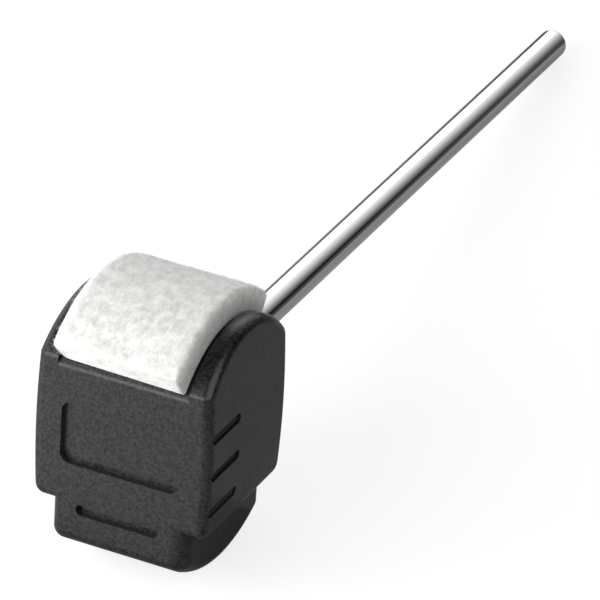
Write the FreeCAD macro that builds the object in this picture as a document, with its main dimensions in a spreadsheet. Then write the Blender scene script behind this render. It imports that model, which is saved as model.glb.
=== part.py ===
import FreeCAD, Part
import math
import os
from types import SimpleNamespace

import Sketcher

# Bass drum beater: a block head with a felt face above and a hard plastic face below, on a steel rod.
# Frame: the rod's axis is Y, with its free end at +Y. The head lies in -Y and the felt faces +Z.
# The origin is on the rod's axis, where the rod leaves the head's back face.

# Driving dimensions in millimetres: alias, number, meaning
SIZES = [
    # Rod
    ("shaft_diameter", 8, "rod, the common clamp size of a bass drum pedal"),
    ("shaft_reach", 217.6, "head's back face to the rod's free end"),
    ("shaft_tip_round", 1.2, "rounding of the rod's free end"),
    ("shoulder_width", 0.5, "rod's shoulder, round the turned journal inside the head"),
    ("journal_relief", 1, "how far the journal stops short of the boss's front end"),
    ("thread_step", 0.5, "journal down to the threaded end, on the radius"),
    ("thread_projection", 2.8, "threaded end, past the nut"),
    ("thread_chamfer", 0.6, "chamfer of the threaded end"),
    # Head, outside
    ("head_width", 47, "across the cheeks, where they bulge most"),
    ("head_depth", 41.8, "front face to back face"),
    ("cheek_bulge", 0.75, "how much the cheeks draw in at their lower edge"),
    ("cheek_drop", 20, "rod's axis down to the cheeks' lower edge"),
    ("ledge_height", 29.6, "rod's axis up to the crown of the cheeks"),
    ("ledge_rise", 10.2, "crown of the cheeks, above the front face's upper edge"),
    ("cheek_round", 2.6, "rounding round the outline of each cheek"),
    ("cheek_back_ease", 0.9, "cheeks' back corners, seen from the side: how much rounder than the outline"),
    ("cheek_front_ease", 0.9, "cheeks' lower front corner, seen from the side: how much rounder"),
    ("front_edge_round", 1.8, "rounding of the front face's upper edge"),
    ("core_width", 36.6, "lower block, which stands in from the cheeks"),
    ("hard_face_height", 36.4, "rod's axis down to the crown of the hard face"),
    ("hard_face_rise", 7.6, "crown of the hard face, below its front edge"),
    ("hard_crown_shift", 1.2, "crown of the hard face, behind the middle of the head"),
    ("hard_edge_round", 3.4, "rounding round the hard face"),
    ("core_front_ease", 1.1, "lower block's upright front edges: how much rounder than the hard face's edge"),
    ("core_back_ease", 0.2, "lower block's upright back edges: how much rounder"),
    # Head, recesses
    ("channel_width", 34.6, "felt's channel, between the cheeks"),
    ("channel_depth", 1.8, "felt's channel, below the crown of the cheeks"),
    ("panel_width", 31.6, "recessed panel on the front face"),
    ("panel_height", 16.6, "recessed panel on the front face"),
    ("panel_depth", 1.6, "recessed panel and the short slot below it"),
    ("panel_round", 2.6, "corners of the recessed panel"),
    ("low_slot_width", 22, "short slot below the panel"),
    ("low_slot_height", 3, "short slot below the panel"),
    ("low_slot_drop", 20.2, "rod's axis down to the middle of the short slot"),
    ("side_slot_length", 14.4, "slots in the cheeks, along the rod"),
    ("side_slot_height", 2.5, "slots in the cheeks"),
    ("side_slot_depth", 4.2, "slots in the cheeks"),
    ("side_slot_setback", 1.7, "front face to the slots' front end, past the rounding"),
    ("side_slot_pitch", 10, "slot to slot"),
    ("side_slot_drop", 2.1, "rod's axis down to the middle slot"),
    ("slot_end_flat", 0.1, "flat left between the roundings at a slot's ends"),
    # Head, inside
    ("front_wall", 4.6, "front face to the hollow"),
    ("back_wall", 4, "back face to the hollow"),
    ("side_wall", 3.5, "lower block's side to the hollow"),
    ("hard_face_wall", 5, "hard face to the hollow"),
    ("boss_diameter", 16, "tube inside the head that holds the rod"),
    ("boss_length", 19, "back face to the boss's front end"),
    ("web_thickness", 5, "web that carries the boss on the hard face"),
    ("post_diameter", 6.4, "posts for the carrier's screws"),
    ("post_bite", 0.6, "how far each post runs into the side wall"),
    # Felt and its carrier
    ("carrier_thickness", 2.4, "plate that closes the hollow below the felt"),
    ("carrier_shelf", 0.8, "how far the carrier bears on the back wall"),
    ("felt_thickness", 6.8, "felt, square to its face"),
    ("felt_side_gap", 0.9, "felt's sides, in from the channel's walls"),
    ("felt_setback", 0.8, "front face to the felt's lower edge"),
    ("felt_overhang", 3.1, "felt's upper edge, forward of the front face"),
    ("felt_back_overhang", 2.9, "felt's upper edge, behind the back face"),
    ("felt_edge_round", 1.2, "worn edge of the felt"),
    ("glue_thickness", 0.3, "adhesive film below the felt"),
    ("glue_margin", 1, "adhesive film, in from the felt's edges"),
    # Fasteners
    ("outer_washer_diameter", 15, "steel washer under the rod's shoulder"),
    ("washer_thickness", 1.2, "both flat washers"),
    ("inner_washer_diameter", 13, "flat washer inside the head"),
    ("lock_washer_diameter", 11, "split spring washer"),
    ("lock_washer_thickness", 1.5, "split spring washer"),
    ("lock_washer_gap", 1.4, "split of the spring washer"),
    ("nut_across_flats", 10, "hexagon nut"),
    ("nut_height", 5, "hexagon nut"),
    ("pin_diameter", 2.5, "spring pin through the boss and the rod"),
    ("pin_wall", 0.5, "spring pin's rolled strip"),
    ("pin_recess", 0.5, "spring pin's ends, below the boss's surface"),
    ("pin_slit", 0.7, "spring pin's slit"),
    ("pin_setback", 10, "back face to the spring pin"),
    ("screw_diameter", 2.9, "carrier screws"),
    ("screw_length", 10, "carrier screws, head included"),
    ("screw_head_diameter", 5.6, "carrier screws, countersunk head"),
    ("screw_head_height", 1.4, "carrier screws, countersunk head"),
    ("screw_slot_width", 0.8, "carrier screws, slot in the head"),
    ("screw_slot_depth", 0.7, "carrier screws, slot in the head"),
    ("screw_recess", 0.25, "carrier screws, head below the crown of the carrier"),
    # Fits
    ("bore_clearance", 0.05, "round a rod, pin, screw or washer, on the radius"),
    ("seat_clearance", 0.1, "round the carrier in its seat"),
    ("overrun", 1, "how far a cut runs past the solid"),
]

SHEET = "Sizes"
TOLERANCE = 0.001
SLOTS_IN_CHEEK = (-1, 0, 1)
LEFT_AND_RIGHT = (-1, 1)
HEXAGON = 6

PLANES = {
    "XZ": FreeCAD.Rotation(FreeCAD.Vector(1, 0, 0), 90),
    "YZ": FreeCAD.Rotation(FreeCAD.Vector(1, 1, 1), 120),
}
ALONG = {
    "X": FreeCAD.Rotation(FreeCAD.Vector(0, 1, 0), 90),
    "Y": FreeCAD.Rotation(FreeCAD.Vector(1, 0, 0), -90),
    "Z": FreeCAD.Rotation(),
}


class Size:
    """A length: its number, and the sheet expression that keeps it bound to the driving dimensions."""

    def __init__(self, number, text):
        self.number = number
        self.text = text

    def __neg__(self):
        return Size(-self.number, "(-%s)" % self.text)

    def __add__(self, other):
        return Size(self.number + other.number, "(%s + %s)" % (self.text, other.text))

    def __sub__(self, other):
        return Size(self.number - other.number, "(%s - %s)" % (self.text, other.text))

    def __mul__(self, times):
        return Size(self.number * times, "(%s * %s)" % (self.text, times))

    def __truediv__(self, parts):
        return Size(self.number / parts, "(%s / %s)" % (self.text, parts))


ZERO = Size(0.0, "0")


def leg(longest, other):
    """The third side of a right-angled triangle."""
    number = math.sqrt(longest.number ** 2 - other.number ** 2)
    return Size(number, "sqrt(%s ^ 2 - %s ^ 2)" % (longest.text, other.text))


def arc_radius(half_chord, rise):
    """The radius of an arc that rises by that much over its chord."""
    number = (half_chord.number ** 2 + rise.number ** 2) / (2 * rise.number)
    text = "((%s ^ 2 + %s ^ 2) / (2 * %s))" % (half_chord.text, rise.text, rise.text)
    return Size(number, text)


def hexagon_radius(across_flats):
    """The corner radius of a hexagon."""
    return Size(across_flats.number / math.sqrt(3), "(%s / sqrt(3))" % across_flats.text)


# Document helpers


def add_sheet(doc):
    """Writes the driving dimensions into a sheet and returns them as sizes."""
    sheet = doc.addObject("Spreadsheet::Sheet", SHEET)
    sizes = {}
    for row, (alias, number, meaning) in enumerate(SIZES, start=1):
        sheet.set("A%d" % row, alias)
        sheet.set("B%d" % row, str(number))
        sheet.set("C%d" % row, meaning)
        sheet.setAlias("B%d" % row, alias)
        sizes[alias] = Size(float(number), "%s.%s" % (SHEET, alias))
    doc.recompute()
    return SimpleNamespace(**sizes)


def bind(thing, **sizes):
    """Binds properties to sheet expressions."""
    for name, size in sizes.items():
        setattr(thing, name, size.number)
        thing.setExpression(name, size.text)


def place(thing, x, y, z, rotation=FreeCAD.Rotation()):
    """Binds a thing's place to sheet expressions."""
    thing.Placement = FreeCAD.Placement(FreeCAD.Vector(x.number, y.number, z.number), rotation)
    for axis, size in zip("xyz", (x, y, z)):
        thing.setExpression("Placement.Base.%s" % axis, size.text)


def crown(first, last, radius, side):
    """The middle of an arc from first to last, on the left of travel for side 1 and the right for -1."""
    chord = last - first
    rise = radius - math.sqrt(radius ** 2 - (chord.Length / 2) ** 2)
    left = FreeCAD.Vector(-chord.y, chord.x, 0) / chord.Length
    return (first + last) / 2 + left * (side * rise)


def draw(sketch, corners, bends=()):
    """Draws a closed outline with every corner bound.

    bends maps a corner to the radius and the side of the arc that follows it.
    """
    bends = dict(bends)
    points = [FreeCAD.Vector(x.number, y.number, 0) for x, y in corners]
    starts = []
    stops = []
    for i, first in enumerate(points):
        last = points[(i + 1) % len(points)]
        if i in bends:
            radius, side = bends[i]
            sketch.addGeometry(Part.Arc(first, crown(first, last, radius.number, side), last))
        else:
            sketch.addGeometry(Part.LineSegment(first, last))
        begins = sketch.getPoint(i, 1)
        forward = begins.distanceToPoint(first) < begins.distanceToPoint(last)
        starts.append(1 if forward else 2)
        stops.append(2 if forward else 1)
    for i in range(len(points)):
        following = (i + 1) % len(points)
        sketch.addConstraint(Sketcher.Constraint("Coincident", i, stops[i], following, starts[following]))
    for i, corner in enumerate(corners):
        for kind, size in zip(("DistanceX", "DistanceY"), corner):
            index = sketch.addConstraint(Sketcher.Constraint(kind, -1, 1, i, starts[i], size.number))
            sketch.setExpression("Constraints[%d]" % index, size.text)
    for i, (radius, side) in bends.items():
        index = sketch.addConstraint(Sketcher.Constraint("Radius", i, radius.number))
        sketch.setExpression("Constraints[%d]" % index, radius.text)
    return sketch


def slab(doc, name, plane, middle, thickness, corners, bends=()):
    """An outline on a plane, extruded to both sides of it. middle is where the plane crosses its normal."""
    sketch = doc.addObject("Sketcher::SketchObject", name + "_outline")
    place(sketch, ZERO, middle if plane == "XZ" else ZERO, ZERO, PLANES[plane])
    draw(sketch, corners, bends)
    solid = doc.addObject("Part::Extrusion", name)
    solid.Base = sketch
    solid.DirMode = "Normal"
    solid.Solid = True
    solid.Symmetric = True
    bind(solid, LengthFwd=thickness)
    return solid


def block(doc, name, width, depth, height, x, y, z):
    """A box from its lowest corner."""
    solid = doc.addObject("Part::Box", name)
    bind(solid, Length=width, Width=depth, Height=height)
    place(solid, x, y, z)
    return solid


def round_bar(doc, name, along, diameter, length, x, y, z):
    """A cylinder along an axis, from the middle of its first end."""
    solid = doc.addObject("Part::Cylinder", name)
    bind(solid, Radius=diameter / 2, Height=length)
    place(solid, x, y, z, ALONG[along])
    return solid


def cut(doc, name, base, *tools):
    """The base without the tools."""
    solid = doc.addObject("Part::Cut", name)
    solid.Base = base
    solid.Tool = tools[0] if len(tools) == 1 else join(doc, name + "_tools", *tools)
    return solid


def join(doc, name, *solids):
    """The solids as one."""
    joined = doc.addObject("Part::MultiFuse", name)
    joined.Shapes = list(solids)
    joined.Refine = True
    return joined


def shared(doc, name, *solids):
    """What the solids have in common."""
    common = doc.addObject("Part::MultiCommon", name)
    common.Shapes = list(solids)
    return common


def rounded(doc, name, base, *choices):
    """The base with some edges rounded: each choice is (radius, test of an edge)."""
    doc.recompute()
    solid = doc.addObject("Part::Fillet", name)
    solid.Base = base
    edges = []
    for index, edge in enumerate(base.Shape.Edges, start=1):
        for radius, wanted in choices:
            if wanted(edge):
                edges.append((index, radius.number, radius.number))
    solid.Edges = edges
    return solid


def near(number, size):
    return abs(number - size.number) < TOLERANCE


def straight(axis):
    """A test for the straight edges along an axis, named by its letter."""

    def wanted(edge):
        if edge.Curve.TypeId != "Part::GeomLine":
            return False
        return abs(getattr(edge.Curve.Direction, axis.lower())) > 1 - TOLERANCE

    return wanted


def straight_across(y, z=None):
    """A test for the straight edges along X at that depth and, if it is given, that height."""

    def wanted(edge):
        if not straight("X")(edge) or not near(edge.CenterOfMass.y, y):
            return False
        return z is None or near(edge.CenterOfMass.z, z)

    return wanted


def straight_up(y):
    """A test for the straight edges along Z at that depth."""
    return lambda edge: straight("Z")(edge) and near(edge.CenterOfMass.y, y)


def round_a_face(base, radius, axis):
    """A test for the edges of the base's cylindrical faces of that radius and axis."""
    edges = []
    for face in base.Shape.Faces:
        surface = face.Surface
        if surface.TypeId == "Part::GeomCylinder" and near(surface.Radius, radius):
            if abs(getattr(surface.Axis, axis.lower())) > 1 - TOLERANCE:
                edges.extend(face.Edges)
    return lambda edge: any(edge.isSame(other) for other in edges)


def turned(doc, label, corners):
    """A body turned about the Y axis from half of its outline."""
    body = doc.addObject("PartDesign::Body", label)
    sketch = body.newObject("Sketcher::SketchObject", label + "_outline")
    plane = [feature for feature in body.Origin.OriginFeatures if feature.Role == "YZ_Plane"][0]
    sketch.AttachmentSupport = (plane, [""])
    sketch.MapMode = "FlatFace"
    draw(sketch, corners)
    revolution = body.newObject("PartDesign::Revolution", label + "_turning")
    revolution.Profile = sketch
    revolution.ReferenceAxis = (sketch, ["H_Axis"])
    revolution.Angle = 360
    doc.recompute()
    return body


def named(solid, label):
    solid.Label = label
    return solid


# Shapes that several sub-parts follow


def follow(s):
    """Works out the arcs and fits that several sub-parts share from the driving dimensions."""
    half_depth = s.head_depth / 2
    s.middle = -half_depth
    s.half_depth = half_depth
    s.ledge_radius = arc_radius(half_depth, s.ledge_rise)
    s.ledge_centre = s.ledge_height - s.ledge_radius
    s.seat_centre = s.ledge_centre - s.channel_depth
    s.hard_middle = s.middle + s.hard_crown_shift
    s.hard_radius = arc_radius(half_depth + s.hard_crown_shift, s.hard_face_rise)
    s.hard_centre = s.hard_radius - s.hard_face_height
    s.bulge_radius = arc_radius(s.cheek_drop, s.cheek_bulge)
    s.cut_top = s.ledge_height + s.overrun
    s.post_offset = s.core_width / 2 - s.side_wall - s.post_diameter / 2 + s.post_bite
    s.screw_top = s.seat_centre + s.ledge_radius - s.screw_recess
    s.pin_length = s.boss_diameter - s.pin_recess * 2
    s.journal_diameter = s.shaft_diameter - s.shoulder_width * 2
    s.thread_diameter = s.journal_diameter - s.thread_step * 2
    s.carrier_lip = s.back_wall - s.carrier_shelf
    s.felt_width = s.channel_width - s.felt_side_gap * 2


def above_arc(s, centre, reach):
    """The outline of all that lies above an arc of the ledge's radius, out to reach from the middle."""
    edge = centre + leg(s.ledge_radius, reach)
    front = s.middle - reach
    back = s.middle + reach
    corners = [(front, edge), (back, edge), (back, s.cut_top), (front, s.cut_top)]
    return corners, {0: (s.ledge_radius, 1)}


def band(s, inner_radius, outer_radius, front, back):
    """The outline of a curved strip about the seat's centre.

    front and back are how far each end's inner and outer corner lie from the middle.
    """
    corners = [
        (s.middle - front[0], s.seat_centre + leg(inner_radius, front[0])),
        (s.middle - front[1], s.seat_centre + leg(outer_radius, front[1])),
        (s.middle + back[1], s.seat_centre + leg(outer_radius, back[1])),
        (s.middle + back[0], s.seat_centre + leg(inner_radius, back[0])),
    ]
    return corners, {1: (outer_radius, 1), 3: (inner_radius, -1)}


# Head shell


def cheek_block(doc, s):
    """The upper block, front face and cheeks in one: crowned along the rod and bulged to the sides."""
    edge = s.ledge_centre + leg(s.ledge_radius, s.half_depth)
    corners = [(-s.head_depth, -s.cheek_drop), (-s.head_depth, edge), (ZERO, edge), (ZERO, -s.cheek_drop)]
    span = s.head_width + s.overrun * 2
    side_view = slab(doc, "cheek_side_view", "YZ", ZERO, span, corners, {1: (s.ledge_radius, 1)})
    back_corners = (s.cheek_round + s.cheek_back_ease, straight_across(ZERO))
    front_corner = (s.cheek_round + s.cheek_front_ease, straight_across(-s.head_depth, -s.cheek_drop))
    side_view = rounded(doc, "cheek_corners", side_view, back_corners, front_corner)
    front_edge = straight_across(-s.head_depth, edge)
    trim = rounded(doc, "cheek_front_edge", side_view, (s.front_edge_round, front_edge))

    low = -s.cheek_drop - s.overrun
    axis_offset = s.head_width / 2 - s.bulge_radius
    low_half = axis_offset + leg(s.bulge_radius, low)
    high_half = axis_offset + leg(s.bulge_radius, s.cut_top)
    corners = [(low_half, low), (high_half, s.cut_top), (-high_half, s.cut_top), (-low_half, low)]
    bends = {0: (s.bulge_radius, -1), 2: (s.bulge_radius, -1)}
    depth = s.head_depth + s.overrun * 2
    front_view = slab(doc, "cheek_front_view", "XZ", s.middle, depth, corners, bends)

    cheeks = shared(doc, "cheeks", side_view, front_view)
    doc.recompute()
    outline = round_a_face(cheeks, s.bulge_radius, "Y")
    cheeks = rounded(doc, "cheeks_rounded", cheeks, (s.cheek_round, outline))
    return shared(doc, "cheeks_trimmed", cheeks, trim)


def lower_block(doc, s):
    """The narrower block below the cheeks, whose crowned underside is the hard striking face."""
    core = block(
        doc, "core", s.core_width, s.head_depth, s.hard_face_height,
        -s.core_width / 2, -s.head_depth, -s.hard_face_height,
    )
    length = s.core_width + s.overrun * 2
    barrel = round_bar(
        doc, "hard_face_barrel", "X", s.hard_radius * 2, length, -length / 2, s.hard_middle, s.hard_centre
    )
    core = shared(doc, "core_crowned", core, barrel)
    front_edges = (s.hard_edge_round + s.core_front_ease, straight_up(-s.head_depth))
    back_edges = (s.hard_edge_round + s.core_back_ease, straight_up(ZERO))
    core = rounded(doc, "core_upright_edges", core, front_edges, back_edges)
    doc.recompute()
    return rounded(doc, "core_rounded", core, (s.hard_edge_round, round_a_face(core, s.hard_radius, "X")))


def front_recess(doc, s, name, width, height, middle_height, radius):
    """A shallow recess with rounded corners, to cut into the front face."""
    depth = s.panel_depth + s.overrun
    recess = block(
        doc, name, width, depth, height,
        -width / 2, -s.head_depth - s.overrun, middle_height - height / 2,
    )
    return rounded(doc, name + "_rounded", recess, (radius, straight("Y")))


def slot_round(s, height):
    """The rounding of a slot's ends."""
    return (height - s.slot_end_flat) / 2


def side_slots(doc, s):
    """The slots in both cheeks, along the rod."""
    slots = []
    depth = s.side_slot_depth + s.overrun
    front = -s.head_depth + s.side_slot_setback
    for side in LEFT_AND_RIGHT:
        outer = s.head_width / 2 + s.overrun
        x = outer - depth if side > 0 else -outer
        for step in SLOTS_IN_CHEEK:
            z = s.side_slot_pitch * step - s.side_slot_drop - s.side_slot_height / 2
            name = "side_slot_%d_%d" % (side + 1, step + 1)
            slot = block(doc, name, depth, s.side_slot_length, s.side_slot_height, x, front, z)
            ends = (slot_round(s, s.side_slot_height), straight("X"))
            slots.append(rounded(doc, name + "_rounded", slot, ends))
    return slots


def hollow(doc, s):
    """The space inside the head, open to the felt's seat, round the boss, its web and the screw posts."""
    front = -s.head_depth + s.front_wall
    back = -s.back_wall
    radius = s.hard_radius - s.hard_face_wall
    corners = [
        (front, s.cut_top),
        (front, s.hard_centre - leg(radius, s.hard_middle - front)),
        (back, s.hard_centre - leg(radius, back - s.hard_middle)),
        (back, s.cut_top),
    ]
    width = s.core_width - s.side_wall * 2
    space = slab(doc, "hollow_space", "YZ", ZERO, width, corners, {1: (radius, -1)})
    boss = round_bar(doc, "boss", "Y", s.boss_diameter, s.boss_length, ZERO, -s.boss_length, ZERO)
    web = block(
        doc, "web", s.web_thickness, s.boss_length, s.hard_face_height,
        -s.web_thickness / 2, -s.boss_length, -s.hard_face_height,
    )
    posts = []
    for side in LEFT_AND_RIGHT:
        height = s.hard_face_height + s.cut_top
        x = s.post_offset * side
        name = "post_%d" % (side + 1)
        posts.append(
            round_bar(doc, name, "Z", s.post_diameter, height, x, s.middle, -s.hard_face_height)
        )
    return cut(doc, "hollow", space, boss, web, *posts)


def shell_bores(doc, s):
    """The holes for the rod, its washer, the spring pin and the carrier's screws."""
    gap = s.bore_clearance * 2
    length = s.boss_length + s.overrun * 2
    journal = round_bar(
        doc, "journal_bore", "Y", s.journal_diameter + gap, length, ZERO, -s.boss_length - s.overrun, ZERO
    )
    washer = round_bar(
        doc, "washer_seat", "Y", s.outer_washer_diameter + gap, s.washer_thickness + s.overrun,
        ZERO, -s.washer_thickness, ZERO,
    )
    pin = round_bar(
        doc, "pin_bore", "Z", s.pin_diameter + gap, s.pin_length + s.pin_recess + s.overrun,
        ZERO, -s.pin_setback, -s.pin_length / 2,
    )
    screws = []
    for side in LEFT_AND_RIGHT:
        depth = s.screw_length + s.overrun
        bottom = s.screw_top - depth
        name = "screw_bore_%d" % (side + 1)
        screws.append(
            round_bar(doc, name, "Z", s.screw_diameter + gap, depth, s.post_offset * side, s.middle, bottom)
        )
    return [journal, washer, pin] + screws


def head_shell(doc, s):
    """The moulded head: front face, cheeks, hard face and boss in one."""
    outside = join(doc, "outside", cheek_block(doc, s), lower_block(doc, s))
    corners, bends = above_arc(s, s.seat_centre, s.half_depth + s.overrun)
    channel = slab(doc, "felt_channel", "YZ", ZERO, s.channel_width, corners, bends)
    outside = cut(doc, "outside_with_channel", outside, channel)
    edge = s.seat_centre + leg(s.ledge_radius, s.half_depth)
    front_edge = straight_across(-s.head_depth, edge)
    outside = rounded(doc, "channel_front_edge", outside, (s.front_edge_round, front_edge))
    corners, bends = above_arc(s, s.seat_centre - s.carrier_thickness, s.half_depth - s.carrier_lip)
    seat = slab(doc, "carrier_seat", "YZ", ZERO, s.channel_width, corners, bends)
    panel = front_recess(doc, s, "front_panel", s.panel_width, s.panel_height, ZERO, s.panel_round)
    height = s.low_slot_height
    ends = slot_round(s, height)
    low_slot = front_recess(doc, s, "low_slot", s.low_slot_width, height, -s.low_slot_drop, ends)
    tools = [hollow(doc, s), seat, panel, low_slot] + side_slots(doc, s) + shell_bores(doc, s)
    return named(cut(doc, "shell", outside, *tools), "head_shell")


# Felt and its carrier


def screw_blank(doc, s, name, side, gap):
    """A countersunk screw's head and shank on one of the posts, larger all round by the gap."""
    x = s.post_offset * side
    top = s.screw_top
    head = doc.addObject("Part::Cone", name + "_head")
    bind(
        head,
        Radius1=s.screw_diameter / 2 + gap,
        Radius2=s.screw_head_diameter / 2 + gap,
        Height=s.screw_head_height,
    )
    place(head, x, s.middle, top - s.screw_head_height)
    bottom = top - s.screw_length
    width = s.screw_diameter + gap * 2
    shank = round_bar(doc, name + "_shank", "Z", width, s.screw_length, x, s.middle, bottom)
    return join(doc, name, head, shank)


def felt_carrier(doc, s):
    """The curved plate that closes the hollow. The felt is glued on it."""
    reach = s.half_depth - s.carrier_lip - s.seat_clearance
    top = s.seat_centre + leg(s.ledge_radius, reach)
    drop = s.carrier_thickness - s.seat_clearance
    front = s.middle - reach
    back = s.middle + reach
    corners = [(front, top - drop), (front, top), (back, top), (back, top - drop)]
    bends = {1: (s.ledge_radius, 1), 3: (s.ledge_radius, -1)}
    width = s.channel_width - s.seat_clearance * 2
    plate = slab(doc, "carrier_plate", "YZ", ZERO, width, corners, bends)
    holes = []
    for side in LEFT_AND_RIGHT:
        name = "carrier_hole_%d" % (side + 1)
        width = s.screw_head_diameter + s.bore_clearance * 2
        height = s.screw_recess + s.overrun
        x = s.post_offset * side
        mouth = round_bar(doc, name + "_mouth", "Z", width, height, x, s.middle, s.screw_top)
        holes.extend([screw_blank(doc, s, name, side, s.bore_clearance), mouth])
    return named(cut(doc, "carrier", plate, *holes), "felt_carrier")


def carrier_screws(doc, s):
    """The two countersunk screws that hold the carrier, hidden by the felt."""
    screws = []
    for side in LEFT_AND_RIGHT:
        name = "screw_%d" % (side + 1)
        blank = screw_blank(doc, s, name, side, ZERO)
        length = s.screw_head_diameter + s.overrun * 2
        height = s.screw_slot_depth + s.overrun
        x = s.post_offset * side - length / 2
        y = s.middle - s.screw_slot_width / 2
        z = s.screw_top - s.screw_slot_depth
        slot = block(doc, name + "_slot", length, s.screw_slot_width, height, x, y, z)
        screws.append(cut(doc, name + "_slotted", blank, slot))
    group = doc.addObject("Part::Compound", "screws")
    group.Links = screws
    return named(group, "carrier_screws")


def felt_adhesive(doc, s):
    """The film that holds the felt."""
    reach = s.half_depth - s.felt_setback - s.glue_margin
    end = (reach, reach)
    corners, bends = band(s, s.ledge_radius, s.ledge_radius + s.glue_thickness, end, end)
    width = s.felt_width - s.glue_margin * 2
    return named(slab(doc, "adhesive", "YZ", ZERO, width, corners, bends), "felt_adhesive")


def felt_pad(doc, s):
    """A thick felt strip bent over the seat, its ends leaning out over the front and back faces."""
    inner = s.ledge_radius + s.glue_thickness
    outer = inner + s.felt_thickness
    front = (s.half_depth - s.felt_setback, s.half_depth + s.felt_overhang)
    back = (s.half_depth - s.felt_setback, s.half_depth + s.felt_back_overhang)
    corners, bends = band(s, inner, outer, front, back)
    strip = slab(doc, "felt_strip", "YZ", ZERO, s.felt_width, corners, bends)
    doc.recompute()
    worn = rounded(doc, "felt", strip, (s.felt_edge_round, round_a_face(strip, outer, "X")))
    return named(worn, "felt_pad")


# Rod and what holds it


def shaft(doc, s):
    """The chromed rod, with a turned journal and a threaded end inside the head."""
    journal_end = -s.boss_length + s.journal_relief
    end = nut_front(s) - s.thread_projection
    thread = s.thread_diameter / 2
    journal = s.journal_diameter / 2
    rod = s.shaft_diameter / 2
    body = turned(doc, "rod", [
        (end, ZERO),
        (end, thread - s.thread_chamfer),
        (end + s.thread_chamfer, thread),
        (journal_end, thread),
        (journal_end, journal),
        (ZERO, journal),
        (ZERO, rod),
        (s.shaft_reach, rod),
        (s.shaft_reach, ZERO),
    ])
    turning = body.Tip
    edges = enumerate(turning.Shape.Edges, start=1)
    rim = ["Edge%d" % index for index, edge in edges if near(edge.BoundBox.YMin, s.shaft_reach)]
    tip = body.newObject("PartDesign::Fillet", "rod_tip")
    tip.Base = (turning, rim)
    bind(tip, Radius=s.shaft_tip_round)
    doc.recompute()
    hole = round_bar(
        doc, "rod_pin_bore", "Z", s.pin_diameter + s.bore_clearance * 2, s.shaft_diameter * 2,
        ZERO, -s.pin_setback, -s.shaft_diameter,
    )
    return named(cut(doc, "rod_drilled", body, hole), "shaft")


def ring(doc, name, outer, inner, thickness, front):
    """A flat ring about the rod's axis. front is its face towards the head's front."""
    disc = round_bar(doc, name + "_disc", "Y", outer, thickness, ZERO, front, ZERO)
    hole = round_bar(doc, name + "_hole", "Y", inner, thickness, ZERO, front, ZERO)
    return cut(doc, name, disc, hole)


def inner_washer_front(s):
    return -s.boss_length - s.washer_thickness


def lock_washer_front(s):
    return inner_washer_front(s) - s.lock_washer_thickness


def nut_front(s):
    return lock_washer_front(s) - s.nut_height


def back_washer(doc, s):
    """The washer that the rod's shoulder bears on, let into the back face."""
    hole = s.journal_diameter + s.bore_clearance * 2
    washer = ring(doc, "outer_washer", s.outer_washer_diameter, hole, s.washer_thickness, -s.washer_thickness)
    return named(washer, "back_washer")


def inner_washer(doc, s):
    """The flat washer on the front end of the boss."""
    hole = s.thread_diameter + s.bore_clearance * 2
    front = inner_washer_front(s)
    washer = ring(doc, "boss_washer", s.inner_washer_diameter, hole, s.washer_thickness, front)
    return named(washer, "inner_washer")


def lock_washer(doc, s):
    """The spring washer below the nut, split at the top."""
    hole = s.thread_diameter + s.bore_clearance * 2
    front = lock_washer_front(s)
    washer = ring(doc, "spring_ring", s.lock_washer_diameter, hole, s.lock_washer_thickness, front)
    split = block(
        doc, "spring_ring_split", s.lock_washer_gap, s.lock_washer_thickness, s.lock_washer_diameter,
        -s.lock_washer_gap / 2, front, ZERO,
    )
    return named(cut(doc, "spring_ring_open", washer, split), "lock_washer")


def shaft_nut(doc, s):
    """The nut that pulls the rod's shoulder against the head."""
    front = nut_front(s)
    hexagon = doc.addObject("Part::Prism", "hexagon")
    hexagon.Polygon = HEXAGON
    bind(hexagon, Circumradius=hexagon_radius(s.nut_across_flats), Height=s.nut_height)
    place(hexagon, ZERO, front, ZERO, ALONG["Y"])
    hole = s.thread_diameter + s.bore_clearance * 2
    bore = round_bar(doc, "nut_bore", "Y", hole, s.nut_height, ZERO, front, ZERO)
    return named(cut(doc, "nut", hexagon, bore), "shaft_nut")


def shaft_pin(doc, s):
    """The rolled spring pin through the boss and the rod, with its slit towards the front."""
    bottom = -s.pin_length / 2
    roll = round_bar(doc, "pin_roll", "Z", s.pin_diameter, s.pin_length, ZERO, -s.pin_setback, bottom)
    inside = s.pin_diameter - s.pin_wall * 2
    bore = round_bar(doc, "pin_inside", "Z", inside, s.pin_length, ZERO, -s.pin_setback, bottom)
    slit = block(
        doc, "pin_slit", s.pin_slit, s.pin_diameter, s.pin_length,
        -s.pin_slit / 2, -s.pin_setback - s.pin_diameter, bottom,
    )
    return named(cut(doc, "pin", roll, bore, slit), "shaft_pin")


# Whole object


def check_and_export(doc, nodes):
    """Stops at any failed object or unsound shape, then writes one file for each sub-part."""
    doc.recompute()
    for thing in doc.Objects:
        if {"Invalid", "Error"} & set(thing.State):
            raise RuntimeError("%s failed: %s" % (thing.Name, thing.State))
    for node in nodes:
        shape = node.Shape
        if shape.isNull() or not shape.isValid() or not shape.Solids:
            raise RuntimeError("%s has no sound solid" % node.Label)
    os.makedirs("parts", exist_ok=True)
    for node in nodes:
        node.Shape.exportStep("parts/%s.step" % node.Label)
        print("%s: %d solid(s), %.1f mm3" % (node.Label, len(node.Shape.Solids), node.Shape.Volume))


SUBPARTS = [
    shaft,
    back_washer,
    inner_washer,
    lock_washer,
    shaft_nut,
    shaft_pin,
    head_shell,
    felt_carrier,
    carrier_screws,
    felt_adhesive,
    felt_pad,
]

beater = FreeCAD.newDocument("Beater")
driving = add_sheet(beater)
follow(driving)
check_and_export(beater, [subpart(beater, driving) for subpart in SUBPARTS])
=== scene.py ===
"""Bass drum beater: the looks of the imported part, laid out as a Blender add-on and run as a script."""

import math
import random

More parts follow.
